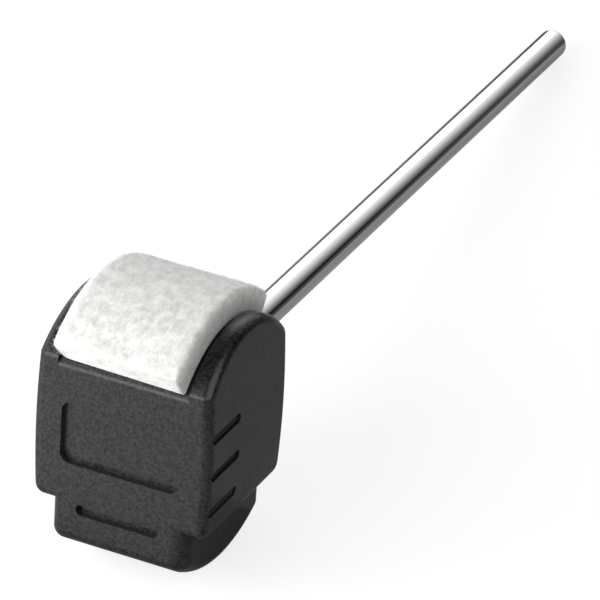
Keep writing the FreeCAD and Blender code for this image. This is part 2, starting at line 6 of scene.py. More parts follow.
import bmesh
import bpy
from bpy.props import FloatProperty, FloatVectorProperty, IntProperty, PointerProperty
from mathutils import Euler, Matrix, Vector, noise


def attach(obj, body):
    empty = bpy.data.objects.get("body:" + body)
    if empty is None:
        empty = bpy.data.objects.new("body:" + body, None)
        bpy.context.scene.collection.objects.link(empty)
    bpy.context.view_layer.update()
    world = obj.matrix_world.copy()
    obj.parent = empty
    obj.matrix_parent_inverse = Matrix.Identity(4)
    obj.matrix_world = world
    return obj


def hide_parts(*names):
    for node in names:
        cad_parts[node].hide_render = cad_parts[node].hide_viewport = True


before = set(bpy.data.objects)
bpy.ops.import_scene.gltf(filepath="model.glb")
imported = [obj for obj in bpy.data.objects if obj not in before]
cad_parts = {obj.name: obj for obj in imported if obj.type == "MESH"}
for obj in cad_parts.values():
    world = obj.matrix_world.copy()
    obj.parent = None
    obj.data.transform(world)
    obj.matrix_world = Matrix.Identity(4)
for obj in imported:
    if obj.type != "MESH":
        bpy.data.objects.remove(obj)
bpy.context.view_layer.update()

bl_info = {
    "name": "Bass drum beater",
    "version": (1, 0, 0),
    "blender": (4, 5, 0),
    "location": "View3D > Sidebar > Beater",
    "description": "Builds the looks of a bass drum beater round its packed CAD model",
    "category": "Object",
}

MM = 0.001
BODY = "root"

# Copies of CAD meshes: points nearer than this are merged, and edges sharper than this are creases
WELD = 0.002 * MM
CREASE = math.radians(30)

# Box that holds a cheek's slots below its skin: middle and reach along X on either side, Y and Z
SLOT_BOX = ((20.8 * MM, 1.7 * MM), (-32.9 * MM, 7.4 * MM), (-2.1 * MM, 11.5 * MM))

# Felt's arcs, in the CAD model's own numbers
FELT_MIDDLE_Y = -20.9 * MM
FELT_CENTRE_Z = 1.088 * MM
FELT_INNER_RADIUS = 27.01 * MM
FELT_INNER_REACH = 20.1 * MM
FELT_FRONT_REACH = 24.0 * MM
FELT_BACK_REACH = 23.8 * MM

# Felt block before it is bent: its length, and its cuts along X, Y and Z
FELT_FLAT_LENGTH = 46 * MM
FELT_CUTS = (44, 62, 9)

# Felt's edges: the left one is worn more than the right one, and the ends and the seat are nearly square
FELT_LEFT_WEAR = 2.0
FELT_END_ROUND = 0.5 * MM
FELT_SEAT_ROUND = 0.3 * MM

# The front end is cut askew: it reaches this share further at its right than at its left
FELT_ASKEW = 0.02

# Above its seat the strip stands a little to the left, and its left side swells
FELT_SHIFT = -0.8 * MM
FELT_SWELL_FROM = 2.0 * MM
FELT_SWELL_ZONE = 6 * MM

# Felt's lumps: size and share of the height for each kind, and the height above the seat that is kept even
FELT_LUMPS = ((9 * MM, 1.0), (3.2 * MM, 0.6), (1.5 * MM, 0.4))
FELT_SEAT_KEPT = 1.5 * MM

# Loose fibres: most sideways bow, shares of the full length, rise per length and end height per rise
FIBRE_SEED = 11
FIBRE_BOW = 0.35
FIBRE_LENGTHS = (0.35, 1.0)
FIBRE_RISES = (0.04, 0.4)
FIBRE_ENDS = (-0.3, 0.2, 1.2)

# Share of the run and of the bow at a fibre's last three points
FIBRE_SHAPE = ((0.3, 0.5), (0.7, 1.0), (1.0, 0.6))

# Felt's streaks lie three ways, given as turns in radians
STREAK_TURNS = ((0.3, 0.5, 0.2), (1.2, 0.4, 1.3), (0.7, 1.4, 2.4))

# Felt's grime and painted shade, low on its sides by the cheeks: it grows outwards along X and backwards
# along Y, and fades upwards from the seat
GRIME_AND_SHADE_OUTWARDS = (14 * MM, 15.4 * MM)
GRIME_AND_SHADE_BACKWARDS = (-36 * MM, -8 * MM)
GRIME_AND_SHADE_UPWARDS = (0.8 * MM, 5.4 * MM)

# How the beater lies: on the crown of its hard face and on the rim of the rod's tip
FLOOR_POINT = Vector((0, -14.78 * MM, -36.06 * MM))
FLOOR_TILT = math.radians(7.89)
FLOOR_RADIUS = 9.0
FLOOR_SIDES = 96

# Paper: its glow to the camera and in a mirror
PAPER_LIFT = 0.74
PAPER_MIRROR_LIFT = 0.06

# Where the rod's axis, carried on past its tip, meets the paper
PAPER_AXIS_Y = 245.3 * MM

# Painted reflection: in a mirror the paper goes dark between two slants: distance short of that point, over
# distance aside
PAPER_SLANT_LIT = 1.31
PAPER_SLANT_DARK = 0.124

# Cards over the paper: middle and height above it, then width and length
CARD_MIDDLE = (-0.15, -0.37, 0.002)
CARD_SIZE = (0.5, 0.65)
GREY_MIDDLE = (0.012, -0.0155, 0.003)
GREY_SIZE = (0.076, 0.055)

# White card's glow: full on the left of one X, dimmed to a share of that on the right of the other
CARD_GLOW = 1.05
CARD_FULL_X = -0.09
CARD_DIM_X = 0.04
CARD_DIM_SHARE = 0.55

# Far soft lamps: direction towards the lamp, strength, and width in degrees
SOFT_LAMPS = (
    ("key_softbox", (-0.48, -0.84, 0.24), 1.5, 50),
    ("fill_softbox", (0.75, -0.30, 0.60), 1.5, 60),
    ("back_softbox", (-0.45, 0.87, 0.20), 0.2, 60),
)

# Near lamp, low at the front left
LOW_LAMP_PLACE = Vector((-0.11, -0.13, 0.03))
LOW_LAMP_SIZE = 0.08
LOW_LAMP_POWER = 0.17

# Studio by direction: axis, start and end of a change along it, strength at each, and kind of change
STUDIO_WALLS = (
    ("X", (-0.08, 0.55), (1.4, 0.015), "LINEAR"),
    ("Y", (0.84, 0.93), (1.0, 0.4), "LINEAR"),
    ("Z", (0.64, 0.85), (1.0, 0.05), "SMOOTHSTEP"),
)

# Camera, at the photograph's angle: place in metres, turn in degrees and lens in mm
CAMERA_PLACE = (0.450129, -0.957294, 0.598941)
CAMERA_TURN = (61.33351, -3.38374, 25.78684)
CAMERA_LENS = 301.2945


def linear(hex_colour):
    """Turns an sRGB hex colour into the linear RGBA that shaders take."""
    parts = [int(hex_colour[i:i + 2], 16) / 255 for i in (1, 3, 5)]
    return [p / 12.92 if p <= 0.04045 else ((p + 0.055) / 1.055) ** 2.4 for p in parts] + [1.0]


WHITE = linear("#ffffff")
BLACK = linear("#000000")


def colour_property(name, description, hex_colour):
    """A colour that the panel shows, given as sRGB hex."""
    return FloatVectorProperty(
        name=name,
        description=description,
        subtype="COLOR",
        size=4,
        min=0,
        max=1,
        default=linear(hex_colour),
    )


class BeaterSizes(bpy.types.PropertyGroup):
    """Sizes of the soft pieces."""

    felt_width: FloatProperty(
        name="Felt width", description="Felt, across the head", default=32.8 * MM, unit="LENGTH"
    )
    felt_thickness: FloatProperty(
        name="Felt thickness", description="Felt, square to its face", default=6.8 * MM, unit="LENGTH"
    )
    felt_edge_round: FloatProperty(
        name="Felt edge", description="Rounding of the felt's right edge", default=1.1 * MM, unit="LENGTH"
    )
    felt_swell: FloatProperty(
        name="Felt swell", description="Swell of the felt's left side", default=0.8 * MM, unit="LENGTH"
    )
    felt_unevenness: FloatProperty(
        name="Felt unevenness", description="Height of the felt's lumps", default=0.12 * MM, unit="LENGTH"
    )
    fibre_length: FloatProperty(
        name="Fibre length", description="Loose wool fibre, at most", default=1.5 * MM, unit="LENGTH"
    )
    fibre_width: FloatProperty(
        name="Fibre width",
        description="Loose wool fibre, drawn as a fine tuft",
        default=0.035 * MM,
        unit="LENGTH",
    )
    fibre_count: IntProperty(
        name="Fibres", description="Loose wool fibres on the felt's open faces", default=5000
    )


class BeaterColours(bpy.types.PropertyGroup):
    """Colours of the finishes."""

    nylon: colour_property("Nylon", "Head and felt carrier", "#0a0a0a")
    nylon_pale: colour_property("Nylon, rubbed", "Where the moulded grain is rubbed", "#2a2a2a")
    # Dust with painted light, lifting the shadowed inside of the slots
    slot_dust_and_light: colour_property("Dust", "Inside the cheeks' slots", "#454443")
    chrome: colour_property("Chrome", "Rod", "#d3d4d7")
    zinc: colour_property("Zinc", "Washers, nut and screws", "#a9adb3")
    zinc_warm: colour_property("Zinc, passivated", "Warmer patches of the zinc plating", "#b3b0a4")
    spring_steel: colour_property("Spring steel", "Lock washer and pin", "#4c4c50")
    adhesive: colour_property("Adhesive", "Film below the felt", "#d6ccaa")
    felt: colour_property("Felt", "Open wool of the felt", "#e1e0de")
    felt_shade: colour_property("Felt, shaded", "Between the fibres", "#c0bfbc")
    # Grime with painted shade, low on the felt's sides
    felt_grime_and_shade: colour_property("Felt, grimy", "Low on the felt's sides, by the cheeks", "#605e5b")
    floor: colour_property("Floor", "Paper that the beater lies on", "#929291")
    # Painted reflection: the paper's far end as a mirror sees it
    floor_mirror_dark: colour_property("Floor, far end", "Far end of the paper, as a mirror sees it", "#0c0c0c")
    # Painted reflection: grey that stands for the shade under the head, as mirrors see it
    shade_reflection_card: colour_property("Grey card", "Card under the head, which the camera does not see", "#888888")


def set_inputs(tree, node, inputs):
    """Fills a node's inputs: a socket is linked from, and anything else is the input's own value."""
    for name, value in inputs.items():
        if isinstance(value, bpy.types.NodeSocket):
            tree.links.new(value, node.inputs[name])
        else:
            node.inputs[name].default_value = value


def add_node(tree, kind, inputs=None, **settings):
    """Adds one node: settings are its own attributes, inputs are values or sockets to link from."""
    node = tree.nodes.new(kind)
    for name, value in settings.items():
        setattr(node, name, value)
    set_inputs(tree, node, inputs or {})
    return node


def new_material(name):
    """A new material, with its node tree, its shader and its Object coordinates."""
    material = bpy.data.materials.new(name)
    material.use_nodes = True
    tree = material.node_tree
    shader = tree.nodes["Principled BSDF"]
    place = add_node(tree, "ShaderNodeTexCoord").outputs["Object"]
    return material, tree, shader, place


def moulded_nylon():
    """Nylon, injection moulded in a spark-eroded mould."""
    # The eye sees a nearly black satin skin: a fine grain breaks up the gloss, which is uneven in soft
    # patches. Dust and painted light grey the slots, lifting their shadowed inside.
    material, tree, shader, place = new_material("moulded_nylon_spark_grain")
    colours = bpy.context.scene.beater_colours
    # Spark grain is about 0.15 mm; it is drawn at 0.75 mm so that it shows
    grain = add_node(
        tree,
        "ShaderNodeTexNoise",
        {"Vector": place, "Scale": 1 / (0.75 * MM), "Detail": 2.0, "Roughness": 0.6},
    )
    rubbed = add_node(
        tree, "ShaderNodeMapRange", {"Value": grain.outputs["Fac"], "From Min": 0.35, "From Max": 0.65}
    )
    skin = add_node(
        tree,
        "ShaderNodeMix",
        {"Factor": rubbed.outputs["Result"], "A": colours.nylon, "B": colours.nylon_pale},
        data_type="RGBA",
    )
    # Dust and painted light grey the cheeks' slots, where all three coordinates of a point are in the
    # slots' box
    axes = add_node(tree, "ShaderNodeSeparateXYZ", {"Vector": place})
    sideways = add_node(tree, "ShaderNodeMath", {0: axes.outputs["X"]}, operation="ABSOLUTE")
    coordinates = (sideways.outputs["Value"], axes.outputs["Y"], axes.outputs["Z"])
    in_slots = 1.0
    for value, (middle, reach) in zip(coordinates, SLOT_BOX):
        inside = add_node(
            tree, "ShaderNodeMath", {0: value, 1: middle, 2: reach}, operation="COMPARE"
        ).outputs["Value"]
        in_slots = add_node(
            tree, "ShaderNodeMath", {0: in_slots, 1: inside}, operation="MULTIPLY"
        ).outputs["Value"]
    dusted_and_lit = add_node(
        tree,
        "ShaderNodeMix",
        {"Factor": in_slots, "A": skin.outputs["Result"], "B": colours.slot_dust_and_light},
        data_type="RGBA",
    )
    # Flow patches of the melt, about 11 mm
    flow = add_node(tree, "ShaderNodeTexNoise", {"Vector": place, "Scale": 1 / (11 * MM), "Detail": 3.0})
    gloss = add_node(
        tree,
        "ShaderNodeMapRange",
        {"Value": flow.outputs["Fac"], "From Min": 0.3, "From Max": 0.7, "To Min": 0.21, "To Max": 0.30},
    )
    bump = add_node(
        tree, "ShaderNodeBump", {"Height": grain.outputs["Fac"], "Strength": 0.9, "Distance": 0.06 * MM}
    )
    set_inputs(
        tree,
        shader,
        {
            "Base Color": dusted_and_lit.outputs["Result"],
            "Roughness": gloss.outputs["Result"],
            "Normal": bump.outputs["Normal"],
            "IOR": 1.53,
            "Specular IOR Level": 0.36,
        },
    )
    return material


def chromed_steel():
    """Steel bar, centreless ground, polished and chromed."""
    # The eye sees a mirror, a little soft, with faint rings left by grinding and a slight haze in places.
    material, tree, shader, place = new_material("chromed_steel_polished")
    # Haze from handling, in patches about 15 mm long
    haze = add_node(tree, "ShaderNodeTexNoise", {"Vector": place, "Scale": 1 / (15 * MM), "Detail": 4.0})
    gloss = add_node(
        tree,
        "ShaderNodeMapRange",
        {"Value": haze.outputs["Fac"], "From Min": 0.35, "From Max": 0.7, "To Min": 0.03, "To Max": 0.08},
    )
    # Grinding rings are some 0.05 mm apart; they are drawn at 0.5 mm so that they show
    along = add_node(tree, "ShaderNodeMapping", {"Vector": place, "Scale": (1, 1 / (0.5 * MM), 1)})
    rings = add_node(
        tree, "ShaderNodeTexNoise", {"Vector": along.outputs["Vector"], "Scale": 1.0, "Detail": 2.0}
    )
    bump = add_node(
        tree, "ShaderNodeBump", {"Height": rings.outputs["Fac"], "Strength": 0.04, "Distance": 0.02 * MM}
    )
    set_inputs(
        tree,
        shader,
        {
            "Base Color": bpy.context.scene.beater_colours.chrome,
            "Metallic": 1.0,
            "Roughness": gloss.outputs["Result"],
            "Normal": bump.outputs["Normal"],
        },
    )
    return material


def zinc_plated_steel():
    """Steel, stamped or turned, then zinc plated and passivated."""
    # The eye sees a soft bright grey with a faint warm bloom in small clouds.
    material, tree, shader, place = new_material("zinc_plated_steel_passivated")
    colours = bpy.context.scene.beater_colours
    # Bloom of the plating, in clouds about 2.5 mm
    bloom = add_node(tree, "ShaderNodeTexNoise", {"Vector": place, "Scale": 1 / (2.5 * MM), "Detail": 4.0})
    plating = add_node(
        tree,
        "ShaderNodeMix",
        {"Factor": bloom.outputs["Fac"], "A": colours.zinc, "B": colours.zinc_warm},
        data_type="RGBA",
    )
    gloss = add_node(
        tree,
        "ShaderNodeMapRange",
        {"Value": bloom.outputs["Fac"], "From Min": 0.3, "From Max": 0.7, "To Min": 0.26, "To Max": 0.40},
    )
    set_inputs(
        tree,
        shader,
        {
            "Base Color": plating.outputs["Result"],
            "Metallic": 1.0,
            "Roughness": gloss.outputs["Result"],
        },
    )
    return material


def oiled_spring_steel():
    """Spring steel strip, hardened and oiled."""
    # The eye sees a dark grey metal whose oil film is glossier in some places than in others.
    material, tree, shader, place = new_material("spring_steel_oiled")
    # Oil film, in patches about 1.5 mm
    film = add_node(tree, "ShaderNodeTexNoise", {"Vector": place, "Scale": 1 / (1.5 * MM), "Detail": 3.0})
    gloss = add_node(
        tree,
        "ShaderNodeMapRange",
        {"Value": film.outputs["Fac"], "From Min": 0.3, "From Max": 0.7, "To Min": 0.25, "To Max": 0.45},
    )
    set_inputs(
        tree,
        shader,
        {
            "Base Color": bpy.context.scene.beater_colours.spring_steel,
            "Metallic": 1.0,
            "Roughness": gloss.outputs["Result"],
        },
    )
    return material


def contact_adhesive():
    """Contact cement, brushed on and cured."""
    # The eye sees a honey-coloured rubbery film with brush ripples.
    material, tree, shader, place = new_material("contact_cement_brushed")
    # Brush ripples, about 0.8 mm apart and 9 mm long
    across = add_node(
        tree, "ShaderNodeMapping", {"Vector": place, "Scale": (1 / (0.8 * MM), 1 / (9 * MM), 1)}
    )
    ripples = add_node(tree, "ShaderNodeTexNoise", {"Vector": across.outputs["Vector"], "Scale": 1.0})
    bump = add_node(
        tree, "ShaderNodeBump", {"Height": ripples.outputs["Fac"], "Strength": 0.4, "Distance": 0.08 * MM}
    )
    set_inputs(
        tree,
        shader,
        {
            "Base Color": bpy.context.scene.beater_colours.adhesive,
            "Roughness": 0.4,
            "Normal": bump.outputs["Normal"],
        },
    )
    return material


def pressed_wool_felt():
    """White wool, matted and pressed into a thick strip."""
    # The eye sees a matt, faintly mottled mass of short fibres that run every way, with a soft bloom at its
    # edges, and grime with painted shade low on its sides.
    material, tree, shader, place = new_material("wool_felt_pressed")
    colours = bpy.context.scene.beater_colours
    # Clumps of wool, about 2.6 mm
    clumps = add_node(
        tree,
        "ShaderNodeTexNoise",
        {"Vector": place, "Scale": 1 / (2.6 * MM), "Detail": 2.0, "Roughness": 0.55},
    )
    # Wool fibres are about 0.03 mm thick; streaks are drawn 0.7 mm wide and 3.4 mm long so that they show
    fibres = 0.0
    for turn in STREAK_TURNS:
        lay = add_node(
            tree,
            "ShaderNodeMapping",
            {"Vector": place, "Rotation": turn, "Scale": (1 / (0.7 * MM), 1 / (3.4 * MM), 1 / (0.7 * MM))},
        )
        streak = add_node(
            tree,
            "ShaderNodeTexNoise",
            {"Vector": lay.outputs["Vector"], "Scale": 1.0, "Detail": 1.0, "Distortion": 0.6},
        )
        fibres = add_node(
            tree, "ShaderNodeMath", {0: fibres, 1: streak.outputs["Fac"]}, operation="MAXIMUM"
        ).outputs["Value"]
    height = add_node(tree, "ShaderNodeMath", {0: fibres, 1: clumps.outputs["Fac"]}, operation="ADD")
    shade = add_node(
        tree, "ShaderNodeMapRange", {"Value": height.outputs["Value"], "From Min": 0.78, "From Max": 1.32}
    )
    wool = add_node(
        tree,
        "ShaderNodeMix",
        {"Factor": shade.outputs["Result"], "A": colours.felt_shade, "B": colours.felt},
        data_type="RGBA",
    )
    # Grime and painted shade darken the felt low on its two sides, where they meet the cheeks, and most
    # towards the back
    axes = add_node(tree, "ShaderNodeSeparateXYZ", {"Vector": place})
    backwards = add_node(
        tree,
        "ShaderNodeMapRange",
        {
            "Value": axes.outputs["Y"],
            "From Min": GRIME_AND_SHADE_BACKWARDS[0],
            "From Max": GRIME_AND_SHADE_BACKWARDS[1],
            "To Min": 0.5,
            "To Max": 0.85,
        },
    )
    sideways = add_node(tree, "ShaderNodeMath", {0: axes.outputs["X"]}, operation="ABSOLUTE")
    on_side = add_node(
        tree,
        "ShaderNodeMapRange",
        {
            "Value": sideways.outputs["Value"],
            "From Min": GRIME_AND_SHADE_OUTWARDS[0],
            "From Max": GRIME_AND_SHADE_OUTWARDS[1],
            "To Max": backwards.outputs["Result"],
        },
    )
    from_centre = add_node(
        tree,
        "ShaderNodeMapping",
        {"Vector": place, "Location": (0, -FELT_MIDDLE_Y, -FELT_CENTRE_Z), "Scale": (0, 1, 1)},
    )
    radius = add_node(tree, "ShaderNodeVectorMath", {0: from_centre.outputs["Vector"]}, operation="LENGTH")
    low_down = add_node(
        tree,
        "ShaderNodeMapRange",
        {
            "Value": radius.outputs["Value"],
            "From Min": FELT_INNER_RADIUS + GRIME_AND_SHADE_UPWARDS[0],
            "From Max": FELT_INNER_RADIUS + GRIME_AND_SHADE_UPWARDS[1],
            "To Min": 1.0,
            "To Max": 0.0,
        },
    )
    grimy_and_shaded = add_node(
        tree,
        "ShaderNodeMath",
        {0: on_side.outputs["Result"], 1: low_down.outputs["Result"]},
        operation="MULTIPLY",
    )
    # The wool, darkened by the grime and the painted shade
    worn = add_node(
        tree,
        "ShaderNodeMix",
        {"Factor": grimy_and_shaded.outputs["Value"], "A": wool.outputs["Result"], "B": colours.felt_grime_and_shade},
        data_type="RGBA",
    )
    bump = add_node(
        tree, "ShaderNodeBump", {"Height": height.outputs["Value"], "Strength": 0.38, "Distance": 0.22 * MM}
    )
    set_inputs(
        tree,
        shader,
        {
            "Base Color": worn.outputs["Result"],
            "Roughness": 0.95,
            "Normal": bump.outputs["Normal"],
            "Specular IOR Level": 0.2,
            "Subsurface Weight": 0.5,
            "Subsurface Radius": (1.0, 1.0, 1.0),
            "Subsurface Scale": 0.8 * MM,
            "Sheen Weight": 0.5,
            "Sheen Roughness": 0.5,
        },
    )
    return material


def matt_paper():
    """White seamless paper, rolled out under the object."""
    # The eye sees an even white: the paper is lifted to white where it is seen directly, and a little where
    # it is seen in a mirror, so that the chrome shows it pale grey. It still takes the object's shadow. Its
    # far end is painted dark for mirrors only, a painted reflection on the chrome.
    material, tree, shader, place = new_material("seamless_paper_matt")
    colours = bpy.context.scene.beater_colours
    # Tooth of the paper, about 0.8 mm
    tooth = add_node(tree, "ShaderNodeTexNoise", {"Vector": place, "Scale": 1 / (0.8 * MM)})
    bump = add_node(
        tree, "ShaderNodeBump", {"Height": tooth.outputs["Fac"], "Strength": 0.05, "Distance": 0.05 * MM}
    )
    path = add_node(tree, "ShaderNodeLightPath")
    mirrored = add_node(
        tree,
        "ShaderNodeMath",
        {0: path.outputs["Is Glossy Ray"], 1: path.outputs["Is Transmission Ray"]},
        operation="MAXIMUM",
    )
    mirrored_lift = add_node(
        tree, "ShaderNodeMath", {0: mirrored.outputs["Value"], 1: PAPER_MIRROR_LIFT}, operation="MULTIPLY"
    )
    lift = add_node(
        tree,
        "ShaderNodeMath",
        {0: path.outputs["Is Camera Ray"], 1: PAPER_LIFT, 2: mirrored_lift.outputs["Value"]},
        operation="MULTIPLY_ADD",
    )
    # Painted reflection: for mirror rays only, the paper's far end is darkened past the point where the
    # rod's axis meets the paper, and less so towards the head on both sides of the rod, so that the chrome
    # shows a dark band
    axes = add_node(tree, "ShaderNodeSeparateXYZ", {"Vector": place})
    short_of_it = add_node(
        tree, "ShaderNodeMath", {0: PAPER_AXIS_Y, 1: axes.outputs["Y"]}, operation="SUBTRACT"
    )
    aside = add_node(tree, "ShaderNodeMath", {0: axes.outputs["X"]}, operation="ABSOLUTE")
    slant = add_node(
        tree,
        "ShaderNodeMath",
        {0: short_of_it.outputs["Value"], 1: aside.outputs["Value"]},
        operation="DIVIDE",
    )
    far = add_node(
        tree,
        "ShaderNodeMapRange",
        {"Value": slant.outputs["Value"], "From Min": PAPER_SLANT_LIT, "From Max": PAPER_SLANT_DARK},
    )
    mirror_darkened = add_node(
        tree,
        "ShaderNodeMath",
        {0: mirrored.outputs["Value"], 1: far.outputs["Result"]},
        operation="MULTIPLY",
    )
    paper = add_node(
        tree,
        "ShaderNodeMix",
        {"Factor": mirror_darkened.outputs["Value"], "A": colours.floor, "B": colours.floor_mirror_dark},
        data_type="RGBA",
    )
    set_inputs(
        tree,
        shader,
        {
            "Base Color": paper.outputs["Result"],
            "Roughness": 0.9,
            "Normal": bump.outputs["Normal"],
            "Specular IOR Level": 0.1,
            "Emission Color": WHITE,
            "Emission Strength": lift.outputs["Value"],
        },
    )
    return material


def white_card():
    """Card painted matt white, which glows as if a lamp on its left lit it."""
    # The camera doesn't see it: it gives an even white sheen to what faces it, and some light from below.
    material, tree, shader, place = new_material("reflector_card_white")
    # Roller marks of the paint, about 12 mm
    marks = add_node(tree, "ShaderNodeTexNoise", {"Vector": place, "Scale": 1 / (12 * MM)})
    paint = add_node(
        tree, "ShaderNodeMapRange", {"Value": marks.outputs["Fac"], "To Min": 0.95, "To Max": 1.05}
    )
    axes = add_node(tree, "ShaderNodeSeparateXYZ", {"Vector": place})
    lit = add_node(
        tree,
        "ShaderNodeMapRange",
        {
            "Value": axes.outputs["X"],
            "From Min": CARD_FULL_X,
            "From Max": CARD_DIM_X,
            "To Min": CARD_GLOW,
            "To Max": CARD_GLOW * CARD_DIM_SHARE,
        },
    )
    glow = add_node(
        tree, "ShaderNodeMath", {0: paint.outputs["Result"], 1: lit.outputs["Result"]}, operation="MULTIPLY"
    )
    set_inputs(
        tree,
        shader,
        {"Base Color": BLACK, "Emission Color": WHITE, "Emission Strength": glow.outputs["Value"]},
    )
    # Only its upper face counts: light passes its underside, so that the paper below it stays even
    underside = add_node(tree, "ShaderNodeNewGeometry").outputs["Backfacing"]
    clear = add_node(tree, "ShaderNodeBsdfTransparent").outputs["BSDF"]
    one_sided = add_node(tree, "ShaderNodeMixShader", {0: underside, 1: shader.outputs["BSDF"], 2: clear})
    set_inputs(tree, tree.nodes["Material Output"], {"Surface": one_sided.outputs["Shader"]})
    return material


def shade_reflection_card():
    """Card painted matt grey, seen only in mirrors: a painted reflection of the shade under the head."""
    # The camera doesn't see it, nor does it shade anything: its reflection paints shade into the lower
    # edges over it.
    material, tree, shader, place = new_material("shading_card_grey")
    # Tooth of the card, about 1 mm
    tooth = add_node(tree, "ShaderNodeTexNoise", {"Vector": place, "Scale": 1 / (1 * MM)})
    bump = add_node(
        tree, "ShaderNodeBump", {"Height": tooth.outputs["Fac"], "Strength": 0.1, "Distance": 0.1 * MM}
    )
    set_inputs(
        tree,
        shader,
        {
            "Base Color": bpy.context.scene.beater_colours.shade_reflection_card,
            "Roughness": 0.95,
            "Normal": bump.outputs["Normal"],
            "Specular IOR Level": 0.1,
        },
    )
    return material


def smooth_copy(node):
    """A merged copy of a CAD node's mesh, smooth but for its creases."""
    bm = bmesh.new()
    bm.from_mesh(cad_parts[node].data)
    bmesh.ops.remove_doubles(bm, verts=bm.verts, dist=WELD)
    for face in bm.faces:
        face.smooth = True
    for edge in bm.edges:
        edge.smooth = edge.calc_face_angle(math.pi) < CREASE
    return bm


def add_piece(name, bm, material, slot, *nodes):
    """Makes a piece of the object: it rides on the one body and stands for the CAD nodes named."""
    mesh = bpy.data.meshes.new(name)
    bm.to_mesh(mesh)
    bm.free()
    flat_normals = mesh.attributes.get("custom_normal")
    if flat_normals:
        mesh.attributes.remove(flat_normals)
    mesh.materials.append(material)
    piece = bpy.data.objects.new(name, mesh)
    bpy.context.scene.collection.objects.link(piece)
    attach(piece, BODY)
    if nodes:
        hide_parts(*nodes)
    return piece


def even_shading(piece):
    """Leans a piece's normals towards its large faces, so that those stay flat beside their roundings."""
    even = piece.modifiers.new("even_shading", "WEIGHTED_NORMAL")
    even.keep_sharp = True


def felt_place(across, along, up, sizes):
    """Bends a point of the flat felt strip over the head."""
    share = up / sizes.felt_thickness
    radius = FELT_INNER_RADIUS + up
    outer_reach = FELT_FRONT_REACH if along < 0 else FELT_BACK_REACH
    reach = FELT_INNER_REACH + (outer_reach - FELT_INNER_REACH) * share
    if along < 0:
        from_left = 0.5 + across / sizes.felt_width
        reach *= 1 + FELT_ASKEW * from_left
    turn = math.asin(reach / radius) * along / (FELT_FLAT_LENGTH / 2)
    return Vector(
        (across, FELT_MIDDLE_Y + radius * math.sin(turn), FELT_CENTRE_Z + radius * math.cos(turn))
    )


def felt_strip(sizes):
    """The felt as a fine mesh: a block with worn edges, bent over the head, its open faces lumpy."""
    block = Vector((sizes.felt_width, FELT_FLAT_LENGTH, sizes.felt_thickness))
    half = block / 2
    bm = bmesh.new()
    bmesh.ops.create_cube(bm, size=1.0)
    bmesh.ops.scale(bm, vec=block, verts=bm.verts)
    for axis, cuts in enumerate(FELT_CUTS):
        run = [e for e in bm.edges if abs(e.verts[0].co[axis] - e.verts[1].co[axis]) > WELD]
        bmesh.ops.subdivide_edges(bm, edges=run, cuts=cuts, use_grid_fill=True)
    swell_height = sizes.felt_thickness - FELT_SWELL_FROM
    for vert in bm.verts:
        # Worn edges: what lies outside a smaller core block is drawn onto a rounding about that core
        edge_round = sizes.felt_edge_round * (FELT_LEFT_WEAR if vert.co.x < 0 else 1.0)
        worn = (edge_round, FELT_END_ROUND, edge_round if vert.co.z > 0 else FELT_SEAT_ROUND)
        core = Vector([max(r - h, min(h - r, c)) for c, h, r in zip(vert.co, half, worn)])
        edge = Vector([(c - k) / r for c, k, r in zip(vert.co, core, worn)]).normalized()
        flat = core + edge * Vector(worn)
        # The left side swells, the strip leans to the left, and the block is bent
        up = flat.z + half.z
        swell = math.sin(math.pi * max(0.0, up - FELT_SWELL_FROM) / swell_height)
        near_side = max(0.0, 1 - (half.x - abs(flat.x)) / FELT_SWELL_ZONE)
        swollen = -sizes.felt_swell * swell * near_side if flat.x < 0 else 0.0
        leaning = FELT_SHIFT * min(1.0, up / FELT_SWELL_FROM)
        vert.co = felt_place(flat.x + swollen + leaning, flat.y, up, sizes)
    bmesh.ops.recalc_face_normals(bm, faces=bm.faces)
    bm.normal_update()
    moves = []
    for vert in bm.verts:
        # Lumps start at half of the height that is kept even, and are full a whole one further out
        out = math.hypot(vert.co.y - FELT_MIDDLE_Y, vert.co.z - FELT_CENTRE_Z) - FELT_INNER_RADIUS
        open_share = max(0.0, min(1.0, out / FELT_SEAT_KEPT - 0.5))
        lump = sum(noise.noise(vert.co / size) * share for size, share in FELT_LUMPS)
        moves.append(vert.normal * (lump * sizes.felt_unevenness * open_share))
    for vert, move in zip(bm.verts, moves):
        vert.co += move
    for face in bm.faces:
        face.smooth = True
    bm.normal_update()
    return bm


